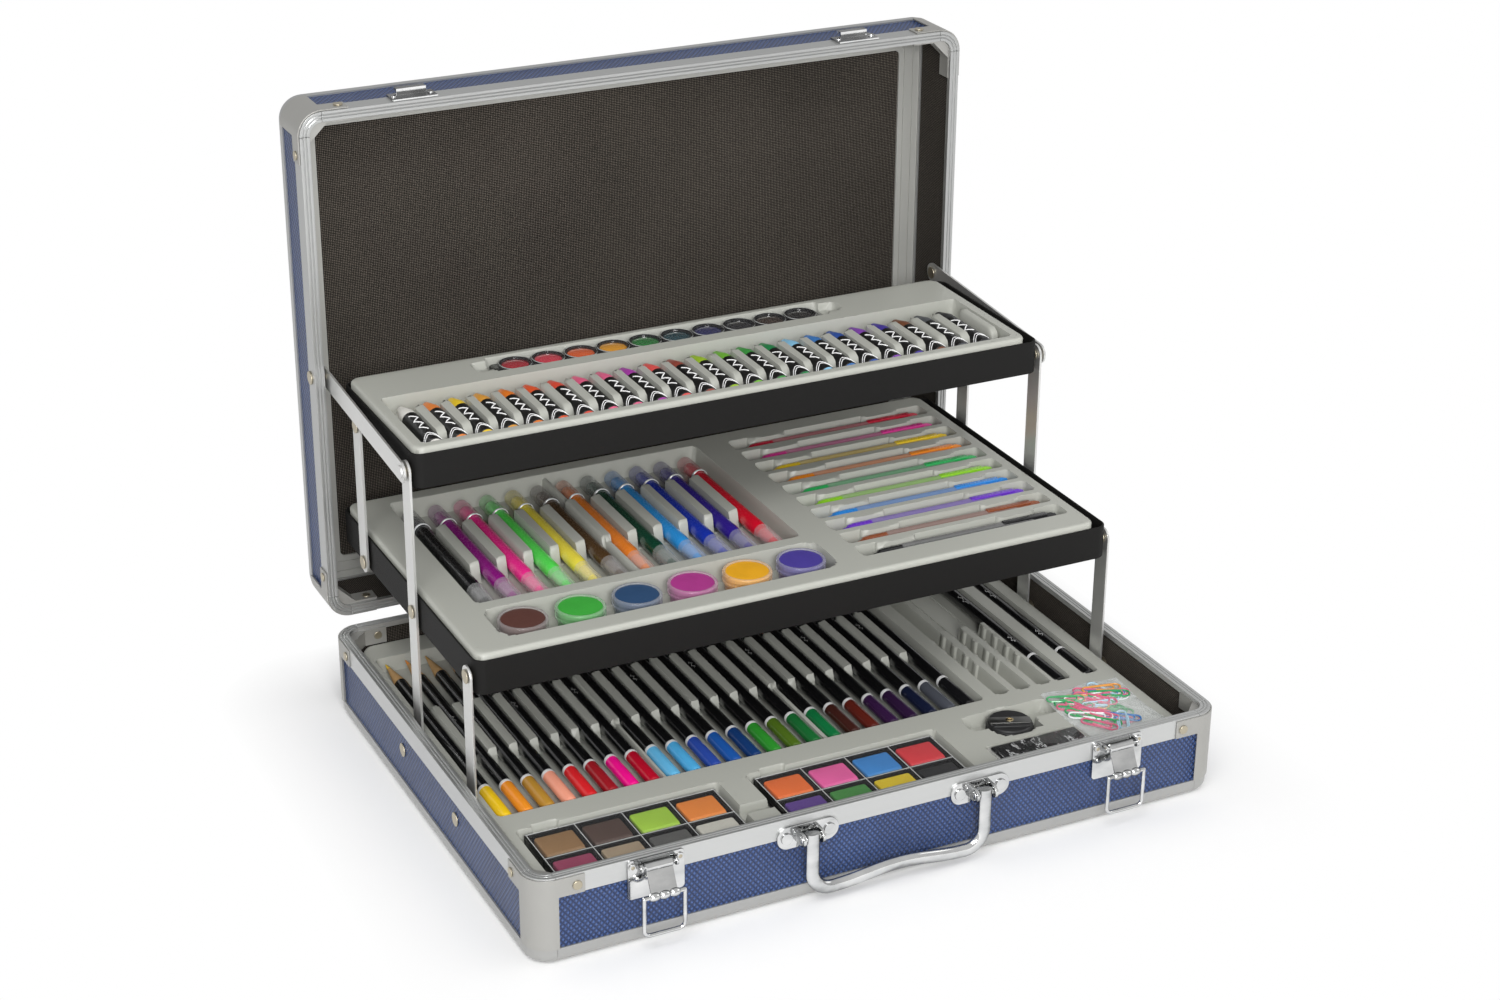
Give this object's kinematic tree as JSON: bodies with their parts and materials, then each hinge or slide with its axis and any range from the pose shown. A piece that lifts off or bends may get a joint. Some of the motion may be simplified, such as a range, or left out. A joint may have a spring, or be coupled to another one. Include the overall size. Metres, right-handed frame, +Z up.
{
  "type": "art supply box",
  "caption": "Aluminium framed art case, open, with two raised trays of pens, paints and pastels on folding arms over a base of coloured pencils and palettes.",
  "frame": {"origin": "centre of the underside of the base", "axes": "+X right along the front, +Y to the hinge side, +Z up"},
  "size_m": [0.3816, 0.3348, 0.3358],
  "materials": {
    "aluminium": "satin extruded",
    "post_metal": "matt pressed",
    "blue_panel": "diamond textured sheet",
    "lining": "black woven",
    "chrome": "polished",
    "rivet_steel": "plain",
    "insert_plastic": "satin formed sheet",
    "tray_card": "black grained",
    "black_gloss": "gloss",
    "clear_plastic": "clear",
    "wood": "lacquered black",
    "paint": "pressed colour blocks in many hues",
    "rubber": "wrapped block"
  },
  "bodies": {
    "base": {"base_floor": "blue_panel", "base_wall_panels": "blue_panel", "base_rim_rails": "aluminium", "base_bottom_trim": "aluminium", "base_corner_posts": "post_metal", "base_corner_gussets": "post_metal", "base_liner": "lining", "base_insert": "insert_plastic", "base_rivets": "rivet_steel", "pivot_rivets": "rivet_steel", "hinge_base_leaves": "chrome", "hinge_pins": "chrome", "handle_brackets": "chrome", "latch_plates": "chrome", "colour_pencils": "wood", "sketch_pencils": "wood", "palette_frames": "black_gloss", "palette_cakes": "paint", "sharpener": "black_gloss", "eraser": "rubber", "clip_bag": "clear_plastic"},
    "lid": {"lid_panel": "blue_panel", "lid_wall_panels": "blue_panel", "lid_rim_rails": "aluminium", "lid_edge_trim": "aluminium", "lid_corner_posts": "post_metal", "lid_corner_gussets": "post_metal", "lid_liner": "lining", "lid_edge_rail": "aluminium", "lid_rivets": "rivet_steel", "lid_pins": "rivet_steel", "lid_strikers": "chrome", "hinge_lid_leaves": "chrome"},
    "long_arm_pair": {"long_arms": "aluminium"},
    "front_arm_pair": {"front_arms": "aluminium"},
    "rear_arm_pair": {"rear_arms": "aluminium"},
    "lid_arm_pair": {"lid_arms": "aluminium"},
    "middle_tray": {"middle_tray_box": "tray_card", "middle_tray_insert": "insert_plastic", "middle_tray_pins": "rivet_steel", "felt_pens": "paint", "felt_pen_caps": "clear_plastic", "gel_pens": "clear_plastic", "paint_pots": "clear_plastic", "pot_paints": "paint"},
    "top_tray": {"top_tray_box": "tray_card", "top_tray_insert": "insert_plastic", "top_tray_pins": "rivet_steel", "oil_pastels": "paint", "watercolour_strip": "black_gloss", "watercolour_cakes": "paint"},
    "carry_handle": {"handle": "chrome"},
    "left_lever": {"latch_lever_left": "chrome"},
    "right_lever": {"latch_lever_right": "chrome"},
    "left_bail": {"latch_bail_left": "chrome"},
    "right_bail": {"latch_bail_right": "chrome"}
  },
  "joints": [
    {"name": "lid_hinge", "type": "hinge", "parent": "base", "child": "lid", "pos_m": [0, 0.144, 0.04715], "axis": [1, 0, 0], "range_deg": [0, 90]},
    {"name": "long_arm_pivot", "type": "hinge", "parent": "base", "child": "long_arm_pair", "pos_m": [0, 0.035, 0.0265], "axis": [1, 0, 0], "range_deg": [0, 75]},
    {"name": "front_arm_pivot", "type": "hinge", "parent": "base", "child": "front_arm_pair", "pos_m": [0, -0.04, 0.0265], "axis": [1, 0, 0], "range_deg": [0, 75]},
    {"name": "middle_tray_pivot", "type": "hinge", "parent": "long_arm_pair", "child": "middle_tray", "pos_m": [0, 0.035, 0.1035], "axis": [1, 0, 0], "range_deg": [-75, 0]},
    {"name": "top_tray_pivot", "type": "hinge", "parent": "long_arm_pair", "child": "top_tray", "pos_m": [0, 0.035, 0.1805], "axis": [1, 0, 0], "range_deg": [-75, 0]},
    {"name": "rear_arm_pivot", "type": "hinge", "parent": "middle_tray", "child": "rear_arm_pair", "pos_m": [0, 0.109, 0.0985], "axis": [1, 0, 0], "range_deg": [0, 75]},
    {"name": "lid_arm_pivot", "type": "hinge", "parent": "lid", "child": "lid_arm_pair", "pos_m": [0, 0.15179, 0.188], "axis": [1, 0, 0], "range_deg": [-104, 0]},
    {"name": "handle_hinge", "type": "hinge", "parent": "base", "child": "carry_handle", "pos_m": [0, -0.1454, 0.037], "axis": [1, 0, 0], "range_deg": [-110, 0]},
    {"name": "left_latch_hinge", "type": "hinge", "parent": "base", "child": "left_lever", "pos_m": [-0.127, -0.1441, 0.043], "axis": [1, 0, 0], "range_deg": [-60, 0]},
    {"name": "right_latch_hinge", "type": "hinge", "parent": "base", "child": "right_lever", "pos_m": [0.127, -0.1441, 0.043], "axis": [1, 0, 0], "range_deg": [-60, 0]},
    {"name": "left_bail_hinge", "type": "hinge", "parent": "left_lever", "child": "left_bail", "pos_m": [-0.127, -0.1505, 0.0304], "axis": [1, 0, 0], "range_deg": [-100, 0]},
    {"name": "right_bail_hinge", "type": "hinge", "parent": "right_lever", "child": "right_bail", "pos_m": [0.127, -0.1505, 0.0304], "axis": [1, 0, 0], "range_deg": [-100, 0]}
  ],
  "couplings": [
    {"joint": "long_arm_pivot", "follows": "lid_hinge", "ratio": 0.82222},
    {"joint": "front_arm_pivot", "follows": "lid_hinge", "ratio": 0.82222},
    {"joint": "middle_tray_pivot", "follows": "lid_hinge", "ratio": -0.82222},
    {"joint": "top_tray_pivot", "follows": "lid_hinge", "ratio": -0.82222},
    {"joint": "rear_arm_pivot", "follows": "lid_hinge", "ratio": 0.82222},
    {"joint": "lid_arm_pivot", "follows": "lid_hinge", "ratio": -1.1172}
  ]
}
